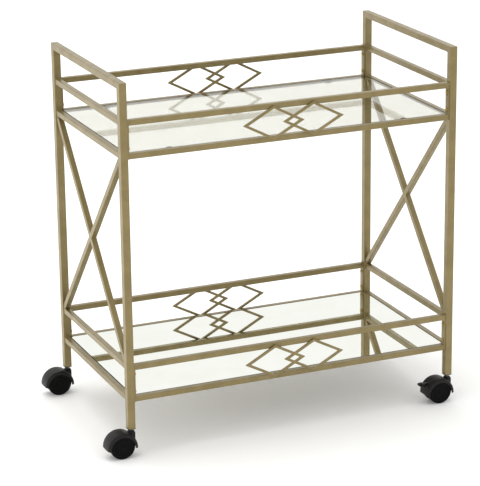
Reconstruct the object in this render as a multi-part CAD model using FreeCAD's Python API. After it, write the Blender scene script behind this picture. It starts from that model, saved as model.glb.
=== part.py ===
import FreeCAD, Part
import math
import os

# Two-tier bar cart on four swivel casters, in millimetres.
# +X runs along the cart to the right, +Y to the rear, +Z up.
# The parts are worked out about the point on the floor under the middle of the frame.
# They are saved about the point on the floor midway between the wheels' axles, which lie
# behind the posts by the casters' trail.

V = FreeCAD.Vector

# Overall size
cart_length = 700.0        # over the outer faces of the posts
cart_depth = 385.0         # over the outer faces of the posts
cart_height = 735.0        # floor to the top of the handle bars
lower_shelf_top = 121.0    # top of the lower shelf rails
upper_shelf_top = 600.0    # top of the upper shelf rails
guard_gap = 53.0           # clear height between a shelf rail and its guard rail

# Tubes
post_size = 15.0
post_wall = 1.2
post_corner = 1.5
handle_height = 13.0       # the handle bars are as wide as the posts
rail_size = 11.0
rail_wall = 1.0
rail_corner = 1.0
brace_size = 11.0
brace_wall = 1.0
brace_corner = 1.0

# Double-diamond motif on the outer face of each long panel
motif_half_width = 63.5
motif_overlap = 7.0        # how far the points of a diamond lie over each rail
motif_offset = 41.3        # from the middle of the cart to the middle of a diamond
motif_bar = 5.0
motif_depth = 4.0

# End plates and their screws
plate_thickness = 3.0
screw_radius = 2.0
screw_length = 12.0        # below the head
screw_head_radius = 3.6
screw_head_height = 2.4
screw_inset = 9.0          # from the nearest rail to the screw's axis
screw_slot_width = 0.9
screw_slot_reach = 2.0
screw_slot_depth = 1.2
plate_hole_clearance = 0.1
post_hole_clearance = 0.05

# Shelves
glass_thickness = 5.0
mirror_thickness = 4.0
shelf_recess = 0.5         # top of a shelf below the top of its rails
shelf_side_gap = 0.8       # between a shelf's edge and the rails
shelf_corner = 8.0
shelf_edge_chamfer = 0.6
tab_position = 245.0       # from the middle of the cart, on the long rails
tab_width = 16.0
tab_reach = 16.0
tab_thickness = 2.0
pad_radius = 5.0
pad_thickness = 1.0

# Post plugs and caster stems
plug_flange = 1.5
plug_depth = 24.0
plug_clearance = 0.05
stem_radius = 3.5
stem_grip = 20.0           # how far a stem reaches into its plug
stem_collar_radius = 4.9
stem_collar_height = 1.0
stem_bare_length = 3.8     # between a stem's collar and the caster's neck
stem_seat_gap = 0.3        # between a stem and the bottom of its socket
stem_running_clearance = 0.06
stem_fixed_clearance = 0.03

# Twin-wheel casters, trailing towards -X at rest
wheel_radius = 25.0
wheel_width = 10.6
wheel_edge = 3.0
wheel_dish_radius = 17.0
wheel_dish_depth = 1.0
wheel_skin = 3.0           # material between the bore's end and the outer face
wheel_side_gap = 0.5       # between a wheel and the caster's web
wheel_running_clearance = 0.06
trail = 22.0               # from the stem's axis to the axle
web_width = 11.0
hub_radius = 8.0
hood_gap = 0.8             # between a wheel's top and the hood
hood_offset = 3.5          # how far the hood's own axis lies below the axle
hood_wall = 1.2
hood_crown = 0.6
hood_side_gap = 0.4        # between a wheel's outer face and the hood's side lip
hood_drop = 4.8            # how far the hood comes down below the axle
hood_top_gap = 2.4         # between the hood's crest and the height of the post plugs
lip_depth = 4.5            # how far a side lip comes down over its wheel's top
lip_margin = 0.2           # by how much a side opening is smaller than a wheel, in radius
neck_radius = 6.8
column_half_length = 6.8
axle_radius = 2.5
axle_fixed_clearance = 0.02
axle_end_gap = 0.4

# Brake levers of the two right-hand casters
lever_pivot_inset = 1.2    # from the lever's hub to the rim of a wheel, seen from the side
lever_pivot_angle = 118.0  # from +X, in the plane of the wheels
lever_droop = 3.0
lever_hub_radius = 3.5
lever_width = 6.0
lever_thickness = 3.4
lever_neck_length = 22.0
lever_tab_start = 21.0
lever_tab_length = 11.5
lever_tab_width = 15.0
lever_tab_corner = 3.0
lever_side_gap = 0.2
lever_slot_margin = 0.8
lever_press = 14.0         # degrees from free to locked
lever_slot_reach = 34.0
pin_radius = 1.5
pin_fixed_clearance = 0.02
pin_running_clearance = 0.05

# Places worked out from the sizes above
axle_z = wheel_radius
hood_z = axle_z - hood_offset
hood_inner_radius = wheel_radius + hood_gap + hood_offset
hood_edge_radius = hood_inner_radius + hood_wall
hood_crest_radius = hood_edge_radius + hood_crown
caster_height = hood_z + hood_crest_radius + hood_top_gap
post_x = (cart_length - post_size) / 2
post_y = (cart_depth - post_size) / 2
post_foot = caster_height + plug_flange
inner_x = cart_length / 2 - post_size
inner_y = cart_depth / 2 - post_size
plate_face_x = inner_x - plate_thickness
rail_outer_y = post_y + rail_size / 2
rail_inner_y = post_y - rail_size / 2
rail_inner_x = post_x - rail_size / 2
web_half = web_width / 2
wheel_inner_y = web_half + wheel_side_gap
wheel_outer_y = wheel_inner_y + wheel_width
hood_half_width = wheel_outer_y + hood_side_gap + hood_wall
hood_corner = wheel_edge + hood_wall
opening_radius = wheel_radius - lip_margin
opening_z = axle_z + wheel_radius - lip_depth - opening_radius
neck_top = caster_height - stem_collar_height - stem_bare_length
neck_foot = hood_z + math.sqrt(hood_inner_radius ** 2 - (trail - neck_radius) ** 2)
stem_foot = axle_z + 1.0
lever_pivot_reach = wheel_radius - lever_pivot_inset - lever_hub_radius
pivot_x = -trail + lever_pivot_reach * math.cos(math.radians(lever_pivot_angle))
pivot_z = axle_z + lever_pivot_reach * math.sin(math.radians(lever_pivot_angle))

X = V(1, 0, 0)
Y = V(0, 1, 0)
Z = V(0, 0, 1)
ORIGIN = V(0, 0, 0)
TIERS = {"upper": upper_shelf_top, "lower": lower_shelf_top}
CORNERS = {
    "front_left": (-1, -1),
    "front_right": (1, -1),
    "rear_left": (-1, 1),
    "rear_right": (1, 1),
}


def save(name, solids):
    """Write one node: a single solid, or a group of separate solids."""
    shape = solids[0] if len(solids) == 1 else Part.makeCompound(solids)
    shape.translated(X * trail).exportStep(os.path.join("parts", name + ".step"))


def block(low, high):
    """Box between two opposite corners."""
    return Part.makeBox(high.x - low.x, high.y - low.y, high.z - low.z, low)


def prism(points, depth):
    """Solid swept by the closed outline of the points along the depth vector."""
    outline = Part.makePolygon(points + [points[0]])
    return Part.Face(outline).extrude(depth)


def to_corner(shape, side_x, side_y):
    """Mirror a piece built at the front left corner to another corner."""
    if side_x > 0:
        shape = shape.mirror(ORIGIN, X)
    if side_y > 0:
        shape = shape.mirror(ORIGIN, Y)
    return shape


def bar(width, depth, corner, length):
    """Bar with rounded long edges: width along X, depth along Y, from the origin up."""
    blank = Part.makeBox(width, depth, length, V(-width / 2, -depth / 2, 0))
    uprights = [edge for edge in blank.Edges if abs(edge.tangentAt(edge.FirstParameter).z) > 0.99]
    return blank.makeFillet(corner, uprights)


def tube(width, depth, wall, corner, length):
    """Tube with rounded long edges: width along X, depth along Y, from the origin up."""
    bore_width = width - 2 * wall
    bore_depth = depth - 2 * wall
    bore = Part.makeBox(bore_width, bore_depth, length, V(-bore_width / 2, -bore_depth / 2, 0))
    return bar(width, depth, corner, length).cut(bore)


def laid_along_x(shape, start):
    """Turn a piece built along +Z so that it runs along +X from the start point."""
    shape.rotate(ORIGIN, Y, 90)
    shape.translate(start)
    return shape


def laid_along_y(shape, start):
    """Turn a piece built along +Z so that it runs along +Y from the start point."""
    shape.rotate(ORIGIN, X, -90)
    shape.translate(start)
    return shape


def guard_foot(shelf_top):
    """Underside of the guard rails above a shelf."""
    return shelf_top + guard_gap


def guard_top(shelf_top):
    """Top of the guard rails above a shelf."""
    return guard_foot(shelf_top) + rail_size


def screw_places():
    """Heights of the four screws in each post."""
    heights = []
    for shelf_top in TIERS.values():
        heights.append(shelf_top + screw_inset)
        heights.append(guard_foot(shelf_top) - screw_inset)
    return heights


def mitre_wedge(keep_post):
    """Wedge that cuts the sloping joint at the top of the front left post."""
    spare = 1.0
    drop = spare * handle_height / post_size
    front = -cart_depth / 2
    outer = V(-cart_length / 2 - spare, front - spare, cart_height + drop)
    inner_z = cart_height - handle_height - drop
    inner = V(outer.x, front + post_size + spare, inner_z)
    if keep_post:
        third = V(outer.x, inner.y, outer.z)
    else:
        third = V(outer.x, outer.y, inner.z)
    return prism([outer, inner, third], X * (post_size + 2 * spare))


def front_left_post():
    """Post with a mitred top and clearance holes for the panel screws."""
    post = tube(post_size, post_size, post_wall, post_corner, cart_height - post_foot)
    post.translate(V(-post_x, -post_y, post_foot))
    post = post.cut(mitre_wedge(True))
    for height in screw_places():
        start = V(-inner_x - 2 * post_wall, -post_y, height)
        hole = Part.makeCylinder(screw_radius + post_hole_clearance, 3 * post_wall, start, X)
        post = post.cut(hole)
    return post


def left_handle():
    """Handle bar across the top of the left end frame, mitred to both posts."""
    handle = tube(post_size, handle_height, post_wall, post_corner, cart_depth)
    start = V(-post_x, -cart_depth / 2, cart_height - handle_height / 2)
    handle = laid_along_y(handle, start)
    wedge = mitre_wedge(False)
    return handle.cut(wedge).cut(wedge.mirror(ORIGIN, Y))


def left_side_rail(top):
    """Rail between the front and rear left posts, with its top at a height."""
    rail = tube(rail_size, rail_size, rail_wall, rail_corner, 2 * inner_y)
    return laid_along_y(rail, V(-post_x, -inner_y, top - rail_size / 2))


def front_long_rail(top):
    """Rail between the front end plates, with its top at a height."""
    rail = tube(rail_size, rail_size, rail_wall, rail_corner, 2 * plate_face_x)
    return laid_along_x(rail, V(-plate_face_x, -post_y, top - rail_size / 2))


def brace_span():
    """Foot, head and length of a brace's centre line, in the left end frame."""
    foot = V(-post_x, inner_y, guard_top(lower_shelf_top))
    head = V(-post_x, -inner_y, upper_shelf_top - rail_size)
    return foot, head


def brace_blank(hollow):
    """Brace that runs past both corners of the X, from low at the rear to high at the front."""
    foot, head = brace_span()
    run = head - foot
    spare = 2 * brace_size
    length = run.Length + 2 * spare
    if hollow:
        brace = tube(brace_size, brace_size, brace_wall, brace_corner, length)
    else:
        brace = bar(brace_size, brace_size, brace_corner, length)
    brace.translate(V(0, 0, -length / 2))
    brace.rotate(ORIGIN, X, math.degrees(math.atan2(-run.y, run.z)))
    brace.translate((foot + head) * 0.5)
    return brace


def brace_window():
    """Space between the posts and the rails that the braces fill to its corners."""
    foot, head = brace_span()
    low = V(-post_x - brace_size, -inner_y, foot.z)
    high = V(-post_x + brace_size, inner_y, head.z)
    return block(low, high)


def left_whole_brace():
    """Unbroken diagonal of the left X, cut to the posts and rails."""
    return brace_blank(True).common(brace_window())


def left_half_braces():
    """Lower and upper halves of the other diagonal, cut to the unbroken one."""
    crossing = brace_blank(True).mirror(ORIGIN, Y).common(brace_window())
    halves = crossing.cut(brace_blank(False)).Solids
    return sorted(halves, key=lambda half: half.CenterOfMass.z)


def diamond_face(half_width, half_height, centre):
    """Flat diamond in the XZ plane."""
    points = [
        centre + X * half_width,
        centre + Z * half_height,
        centre - X * half_width,
        centre - Z * half_height,
    ]
    return Part.Face(Part.makePolygon(points + [points[0]]))


def diamond_ring(centre):
    """One diamond of the motif, bent from bar."""
    half_height = guard_gap / 2 + motif_overlap
    reach = motif_half_width * half_height / math.hypot(motif_half_width, half_height)
    inner = (reach - motif_bar) / reach
    ring = diamond_face(motif_half_width, half_height, centre)
    ring = ring.cut(diamond_face(motif_half_width * inner, half_height * inner, centre))
    return ring.extrude(Y * -motif_depth)


def front_motif(shelf_top):
    """Two interlocking diamonds on the outer faces of a front panel's rails."""
    height = shelf_top + guard_gap / 2
    left = diamond_ring(V(-motif_offset, -rail_outer_y, height))
    right = diamond_ring(V(motif_offset, -rail_outer_y, height))
    return left.fuse(right).removeSplitter().Solids[0]


def front_left_end_plate(shelf_top):
    """Plate at the left end of a front panel, screwed to the post."""
    low = V(-inner_x, -post_y - rail_size / 2, shelf_top - rail_size)
    high = V(-plate_face_x, -post_y + rail_size / 2, guard_top(shelf_top))
    plate = block(low, high)
    for height in (shelf_top + screw_inset, guard_foot(shelf_top) - screw_inset):
        start = V(-inner_x - 1, -post_y, height)
        radius = screw_radius + plate_hole_clearance
        plate = plate.cut(Part.makeCylinder(radius, plate_thickness + 2, start, X))
    return plate


def pan_screw(height):
    """Cross-slotted pan-head screw through an end plate into the front left post."""
    head = Part.makeCylinder(screw_head_radius, screw_head_height)
    top_edge = [edge for edge in head.Edges if edge.CenterOfMass.z > screw_head_height - 0.01]
    head = head.makeFillet(screw_head_height * 0.6, top_edge)
    shank = Part.makeCylinder(screw_radius, screw_length, V(0, 0, -screw_length))
    screw = head.fuse(shank).removeSplitter()
    slot_floor = screw_head_height - screw_slot_depth
    for reach_x, reach_y in (
        (screw_slot_reach, screw_slot_width / 2),
        (screw_slot_width / 2, screw_slot_reach),
    ):
        low = V(-reach_x, -reach_y, slot_floor)
        high = V(reach_x, reach_y, screw_head_height + 1)
        screw = screw.cut(block(low, high))
    return laid_along_x(screw, V(-plate_face_x, -post_y, height))


def panel_screws():
    """Sixteen screws: two in each end plate."""
    screws = []
    for side_x, side_y in CORNERS.values():
        for height in screw_places():
            screws.append(to_corner(pan_screw(height), side_x, side_y))
    return screws


def panel_end_plates():
    """Eight plates: one at each end of each long panel."""
    plates = []
    for side_x, side_y in CORNERS.values():
        for shelf_top in TIERS.values():
            plates.append(to_corner(front_left_end_plate(shelf_top), side_x, side_y))
    return plates


def shelf(shelf_top, thickness):
    """Sheet let in between the shelf rails, with rounded corners and eased edges."""
    half_x = rail_inner_x - shelf_side_gap
    half_y = rail_inner_y - shelf_side_gap
    top = shelf_top - shelf_recess
    sheet = block(V(-half_x, -half_y, top - thickness), V(half_x, half_y, top))
    uprights = [edge for edge in sheet.Edges if abs(edge.tangentAt(edge.FirstParameter).z) > 0.99]
    sheet = sheet.makeFillet(shelf_corner, uprights)
    rims = [edge for edge in sheet.Edges if edge.BoundBox.ZLength < 0.01]
    return sheet.makeChamfer(shelf_edge_chamfer, rims)


def support_places(shelf_top, thickness):
    """Root point and inward direction of each tab's top face, on both long sides of a shelf."""
    height = shelf_top - shelf_recess - thickness - pad_thickness
    places = []
    for side in (-1, 1):
        for place_x in (-tab_position, tab_position):
            places.append((V(place_x, side * rail_inner_y, height), Y * -side))
    return places


def shelf_tab(root, inward):
    """Small plate welded to the inner face of a rail, rounded at its free end."""
    across = X * (tab_width / 2)
    neck = inward * (tab_reach - tab_width / 2)
    points = [root + across, root + neck + across, root + neck - across, root - across]
    plate = prism(points, Z * -tab_thickness)
    nose = Part.makeCylinder(tab_width / 2, tab_thickness, root + neck - Z * tab_thickness)
    return plate.fuse(nose).removeSplitter()


def shelf_pad(root, inward):
    """Soft disc between a tab and the shelf above it."""
    centre = root + inward * (tab_reach - tab_width / 2)
    return Part.makeCylinder(pad_radius, pad_thickness, centre)


def all_support_places():
    """Support places of both shelves."""
    upper = support_places(upper_shelf_top, glass_thickness)
    return upper + support_places(lower_shelf_top, mirror_thickness)


def post_plug(side_x, side_y):
    """Plastic plug in the foot of a post, bored for the caster stem."""
    bore_size = post_size - 2 * post_wall - 2 * plug_clearance
    flange = bar(post_size, post_size, post_corner, plug_flange)
    core = Part.makeBox(bore_size, bore_size, plug_depth, V(-bore_size / 2, -bore_size / 2, plug_flange))
    hole = Part.makeCylinder(stem_radius + stem_fixed_clearance, plug_flange + stem_grip + 1)
    plug = flange.fuse(core).removeSplitter().cut(hole)
    plug.translate(V(side_x * post_x, side_y * post_y, caster_height))
    return plug


def caster_stem(side_x, side_y):
    """Steel stem with a collar under the plug: the caster turns round its lower end."""
    length = caster_height + stem_grip - stem_foot
    stem = Part.makeCylinder(stem_radius, length, V(0, 0, stem_foot))
    collar_foot = caster_height - stem_collar_height
    collar = Part.makeCylinder(stem_collar_radius, stem_collar_height, V(0, 0, collar_foot))
    stem = stem.fuse(collar).removeSplitter()
    stem.translate(V(side_x * post_x, side_y * post_y, 0))
    return stem


def hood_point(place_y, radius):
    """Point of the hood's section, at a distance above the hood's own axis."""
    return V(-trail, place_y, hood_z + radius)


def hood_drum():
    """Drum with a crowned rim and round shoulders, from which the hood is cut."""
    half = hood_half_width
    flat = half - hood_corner
    low = hood_edge_radius - hood_corner
    bend = hood_corner * math.sqrt(0.5)
    rear_shoulder = hood_point(flat + bend, low + bend)
    front_shoulder = hood_point(-flat - bend, low + bend)
    crest = hood_point(0, hood_crest_radius)
    rear_edge = hood_point(flat, hood_edge_radius)
    front_edge = hood_point(-flat, hood_edge_radius)
    edges = [
        Part.makeLine(hood_point(half, 0), hood_point(-half, 0)),
        Part.makeLine(hood_point(-half, 0), hood_point(-half, low)),
        Part.Arc(hood_point(-half, low), front_shoulder, front_edge).toShape(),
        Part.Arc(front_edge, crest, rear_edge).toShape(),
        Part.Arc(rear_edge, rear_shoulder, hood_point(half, low)).toShape(),
        Part.makeLine(hood_point(half, low), hood_point(half, 0)),
    ]
    section = Part.Face(Part.Wire(edges))
    return section.revolve(hood_point(0, 0), Y, 360)


def rear_wheel_room():
    """Space inside the hood for the rear wheel, with the side opening that shows its disc."""
    depth = wheel_outer_y + hood_side_gap - web_half
    room = Part.makeCylinder(hood_inner_radius, depth)
    outer_rim = [edge for edge in room.Edges if edge.Closed and edge.CenterOfMass.z > depth / 2]
    room = laid_along_y(room.makeFillet(wheel_edge, outer_rim), V(-trail, web_half, hood_z))
    start = V(-trail, wheel_outer_y - wheel_edge, opening_z)
    opening = Part.makeCylinder(opening_radius, 2 * hood_corner, start, Y)
    return room.fuse(opening)


def below_hood():
    """Everything lower than the hood's rim, for cutting it open."""
    far = 3 * hood_inner_radius
    low = V(-trail - far, -far, axle_z - far)
    high = V(-trail + far, far, axle_z - hood_drop)
    return block(low, high)


def caster_body(with_brake):
    """Swivelling body: hood, middle web, axle hub and the column round the stem."""
    room = rear_wheel_room()
    hood = hood_drum().cut(room).cut(room.mirror(ORIGIN, Y)).cut(below_hood())
    hub = Part.makeCylinder(hub_radius, web_width, V(-trail, -web_half, axle_z), Y)
    column_low = V(-column_half_length, -web_half, axle_z - hood_drop)
    column_high = V(column_half_length, web_half, (neck_top + neck_foot) / 2)
    column = block(column_low, column_high)
    neck = Part.makeCylinder(neck_radius, neck_top - neck_foot, V(0, 0, neck_foot))
    body = hood.fuse([hub, column, neck]).removeSplitter()
    socket_foot = stem_foot - stem_seat_gap
    socket_radius = stem_radius + stem_running_clearance
    body = body.cut(Part.makeCylinder(socket_radius, caster_height, V(0, 0, socket_foot)))
    bore_start = V(-trail, -web_width, axle_z)
    axle_bore = axle_radius + axle_fixed_clearance
    body = body.cut(Part.makeCylinder(axle_bore, 2 * web_width, bore_start, Y))
    if with_brake:
        body = body.cut(lever_slot())
        pin_start = V(pivot_x, -web_width, pivot_z)
        pin_bore = pin_radius + pin_fixed_clearance
        body = body.cut(Part.makeCylinder(pin_bore, 2 * web_width, pin_start, Y))
    return body.Solids[0]


def lever_slot():
    """Slot through the web and hood in which the lever swings."""
    half = lever_width / 2 + lever_side_gap
    hub_room = Part.makeCylinder(
        lever_hub_radius + lever_slot_margin, 2 * half, V(pivot_x, -half, pivot_z), Y
    )
    edge = lever_thickness / 2 + lever_slot_margin
    rise = lever_slot_reach * math.tan(math.radians(lever_droop))
    fall = lever_slot_reach * math.tan(math.radians(lever_droop + lever_press))
    points = [
        V(pivot_x, -half, pivot_z + edge),
        V(pivot_x - lever_slot_reach, -half, pivot_z + edge - rise),
        V(pivot_x - lever_slot_reach, -half, pivot_z - edge - fall),
        V(pivot_x, -half, pivot_z - edge),
    ]
    return prism(points, Y * (2 * half)).fuse(hub_room)


def brake_lever():
    """Foot lever: hub on its pin, neck through the slot and a wide tab outside."""
    hub = Part.makeCylinder(lever_hub_radius, lever_width, V(0, -lever_width / 2, 0), Y)
    half = lever_thickness / 2
    neck = block(V(-lever_neck_length, -lever_width / 2, -half), V(0, lever_width / 2, half))
    tab_end = lever_tab_start + lever_tab_length
    tab_low = V(-tab_end, -lever_tab_width / 2, -half)
    tab = block(tab_low, V(-lever_tab_start, lever_tab_width / 2, half))
    uprights = [edge for edge in tab.Edges if abs(edge.tangentAt(edge.FirstParameter).z) > 0.99]
    tab = tab.makeFillet(lever_tab_corner, uprights)
    lever = hub.fuse([neck, tab]).removeSplitter()
    bore_radius = pin_radius + pin_running_clearance
    bore = Part.makeCylinder(bore_radius, 2 * lever_width, V(0, -lever_width, 0), Y)
    lever = lever.cut(bore)
    lever.rotate(ORIGIN, Y, -lever_droop)
    lever.translate(V(pivot_x, 0, pivot_z))
    return lever


def brake_pin():
    """Steel pin across the web, on which the lever turns."""
    return Part.makeCylinder(pin_radius, web_width, V(pivot_x, -web_half, pivot_z), Y)


def caster_axle():
    """Steel axle, pressed into the web, with a wheel on each end."""
    reach = wheel_outer_y - wheel_skin - axle_end_gap
    return Part.makeCylinder(axle_radius, 2 * reach, V(-trail, -reach, axle_z), Y)


def rear_wheel():
    """Solid plastic wheel on the +Y side, with a blind bore and a shallow dish."""
    wheel = Part.makeCylinder(wheel_radius, wheel_width)
    wheel = wheel.makeFillet(wheel_edge, [edge for edge in wheel.Edges if edge.Closed])
    bore_radius = axle_radius + wheel_running_clearance
    wheel = wheel.cut(Part.makeCylinder(bore_radius, wheel_width - wheel_skin))
    dish_foot = V(0, 0, wheel_width - wheel_dish_depth)
    dish = Part.makeCylinder(wheel_dish_radius, 2 * wheel_dish_depth, dish_foot)
    return laid_along_y(wheel.cut(dish), V(-trail, wheel_inner_y, axle_z))


def save_end_frames():
    """Posts, handle bars, side rails and X braces."""
    post = front_left_post()
    for corner, (side_x, side_y) in CORNERS.items():
        save("post_" + corner, [to_corner(post, side_x, side_y)])
    handle = left_handle()
    whole_brace = left_whole_brace()
    lower_half, upper_half = left_half_braces()
    for side, side_x in (("left", -1), ("right", 1)):
        save("handle_bar_" + side, [to_corner(handle, side_x, -1)])
        save("brace_whole_" + side, [to_corner(whole_brace, side_x, -1)])
        save("brace_half_lower_" + side, [to_corner(lower_half, side_x, -1)])
        save("brace_half_upper_" + side, [to_corner(upper_half, side_x, -1)])
        for tier, shelf_top in TIERS.items():
            guard = left_side_rail(guard_top(shelf_top))
            rail = left_side_rail(shelf_top)
            save("side_guard_rail_{}_{}".format(tier, side), [to_corner(guard, side_x, -1)])
            save("side_shelf_rail_{}_{}".format(tier, side), [to_corner(rail, side_x, -1)])


def save_long_panels():
    """Long rails, diamond motifs, end plates and screws."""
    for face, side_y in (("front", -1), ("rear", 1)):
        for tier, shelf_top in TIERS.items():
            guard = front_long_rail(guard_top(shelf_top))
            rail = front_long_rail(shelf_top)
            motif = front_motif(shelf_top)
            save("long_guard_rail_{}_{}".format(tier, face), [to_corner(guard, -1, side_y)])
            save("long_shelf_rail_{}_{}".format(tier, face), [to_corner(rail, -1, side_y)])
            save("diamond_motif_{}_{}".format(tier, face), [to_corner(motif, -1, side_y)])
    save("panel_end_plates", panel_end_plates())
    save("panel_screws", panel_screws())


def save_shelves():
    """Glass and mirror shelves with their tabs and pads."""
    save("glass_shelf", [shelf(upper_shelf_top, glass_thickness)])
    save("mirror_shelf", [shelf(lower_shelf_top, mirror_thickness)])
    places = all_support_places()
    save("shelf_tabs", [shelf_tab(root, inward) for root, inward in places])
    save("shelf_pads", [shelf_pad(root, inward) for root, inward in places])


def save_casters():
    """Plugs, stems and the four casters, the right-hand ones with brakes."""
    save("post_plugs", [post_plug(*sides) for sides in CORNERS.values()])
    save("caster_stems", [caster_stem(*sides) for sides in CORNERS.values()])
    wheel = rear_wheel()
    for corner, (side_x, side_y) in CORNERS.items():
        pieces = {
            "caster_body_": caster_body(side_x > 0),
            "caster_axle_": caster_axle(),
            "caster_front_wheel_": wheel.mirror(ORIGIN, Y),
            "caster_rear_wheel_": wheel.copy(),
        }
        if side_x > 0:
            pieces["brake_lever_"] = brake_lever()
            pieces["brake_pin_"] = brake_pin()
        for name, piece in pieces.items():
            piece.translate(V(side_x * post_x, side_y * post_y, 0))
            save(name + corner, [piece])


os.makedirs("parts", exist_ok=True)
save_end_frames()
save_long_panels()
save_shelves()
save_casters()
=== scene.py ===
"""Looks of a two-tier bar cart on swivel casters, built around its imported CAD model."""

import logging
import math
from dataclasses import dataclass, field
from enum import Enum
from typing import Sequence

import bmesh
import bpy
from bmesh.types import BMesh
from bpy.types import Material, Node, NodeSocket, NodeTree, Object
from mathutils import Euler, Matrix, Vector


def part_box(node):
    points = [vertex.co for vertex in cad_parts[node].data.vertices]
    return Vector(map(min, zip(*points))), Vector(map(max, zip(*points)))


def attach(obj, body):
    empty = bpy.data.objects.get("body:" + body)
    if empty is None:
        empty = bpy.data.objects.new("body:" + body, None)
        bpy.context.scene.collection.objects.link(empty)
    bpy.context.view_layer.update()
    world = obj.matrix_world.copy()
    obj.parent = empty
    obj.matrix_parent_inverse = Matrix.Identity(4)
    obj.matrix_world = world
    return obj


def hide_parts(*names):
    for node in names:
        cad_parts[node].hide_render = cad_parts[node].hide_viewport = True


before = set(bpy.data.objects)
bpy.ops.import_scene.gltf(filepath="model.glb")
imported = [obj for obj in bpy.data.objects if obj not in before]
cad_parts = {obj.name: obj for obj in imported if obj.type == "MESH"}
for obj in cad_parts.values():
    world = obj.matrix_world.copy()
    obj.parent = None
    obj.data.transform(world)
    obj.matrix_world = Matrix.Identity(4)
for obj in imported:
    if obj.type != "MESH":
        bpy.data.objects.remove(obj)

LOG = logging.getLogger("bar_cart")
MM = 0.001
MERGE = 1e-6            # metres between two corners of a CAD mesh that are one
SPECK = 5e-6            # metres: shorter edges are closed up after easing
FLAT_ANGLE = 1.0        # degrees under which two CAD triangles are one flat face
SHARP_ANGLE = 40.0      # degrees over which an edge is eased, and stays an edge
LEVEL_ANGLE = 8.0       # degrees of slope under which a sheet's face is its top or underside
EASE_STEPS = 2          # faces across an eased edge
QUARTER = 90.0          # degrees
IMAGE_LONG_SIDE = 486   # dots up an image of 480 x 486

Profile = tuple[tuple[float, float], ...]


class Corner(Enum):
    """Corners of the cart, each with its name and whether its caster has a brake."""

    FRONT_LEFT = ("front_left", False)
    FRONT_RIGHT = ("front_right", True)
    REAR_LEFT = ("rear_left", False)
    REAR_RIGHT = ("rear_right", True)

    @property
    def label(self) -> str:
        """The corner's part in the names of nodes and bodies."""
        return self.value[0]

    @property
    def braked(self) -> bool:
        """Whether the corner's caster has a foot brake."""
        return self.value[1]


class Tier(Enum):
    """The two shelf levels."""

    UPPER = "upper"
    LOWER = "lower"


def linear(colour: str) -> tuple[float, ...]:
    """Turn an sRGB colour into a linear one.

    Args:
        colour: The sRGB colour, as # and six hex digits.

    Returns:
        Linear red, green and blue, and an alpha of 1.
    """
    channels = [int(colour[i : i + 2], 16) / 255 for i in (1, 3, 5)]
    light = [c / 12.92 if c <= 0.04045 else ((c + 0.055) / 1.055) ** 2.4 for c in channels]
    return (*light, 1.0)


def add(tree: NodeTree, kind: str, inputs: dict | None = None, **settings) -> Node:
    """Add a node to a tree, with its settings, its input values and its links.

    Args:
        tree: The shader or geometry tree.
        kind: The node's type name.
        inputs: Values or sockets for its inputs, by name or by number.
        **settings: Properties of the node.

    Returns:
        The new node.
    """
    made = tree.nodes.new(kind)
    for name, value in settings.items():
        setattr(made, name, value)
    for key, value in (inputs or {}).items():
        if isinstance(value, NodeSocket):
            tree.links.new(value, made.inputs[key])
        else:
            made.inputs[key].default_value = value
    return made


# ------------------------ finishes

TONE_SPAN = (0.38, 0.66)    # share of the patches' noise over which the tone drifts
GLOSS_SPAN = (0.3, 0.7)     # and over which the roughness does


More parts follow.
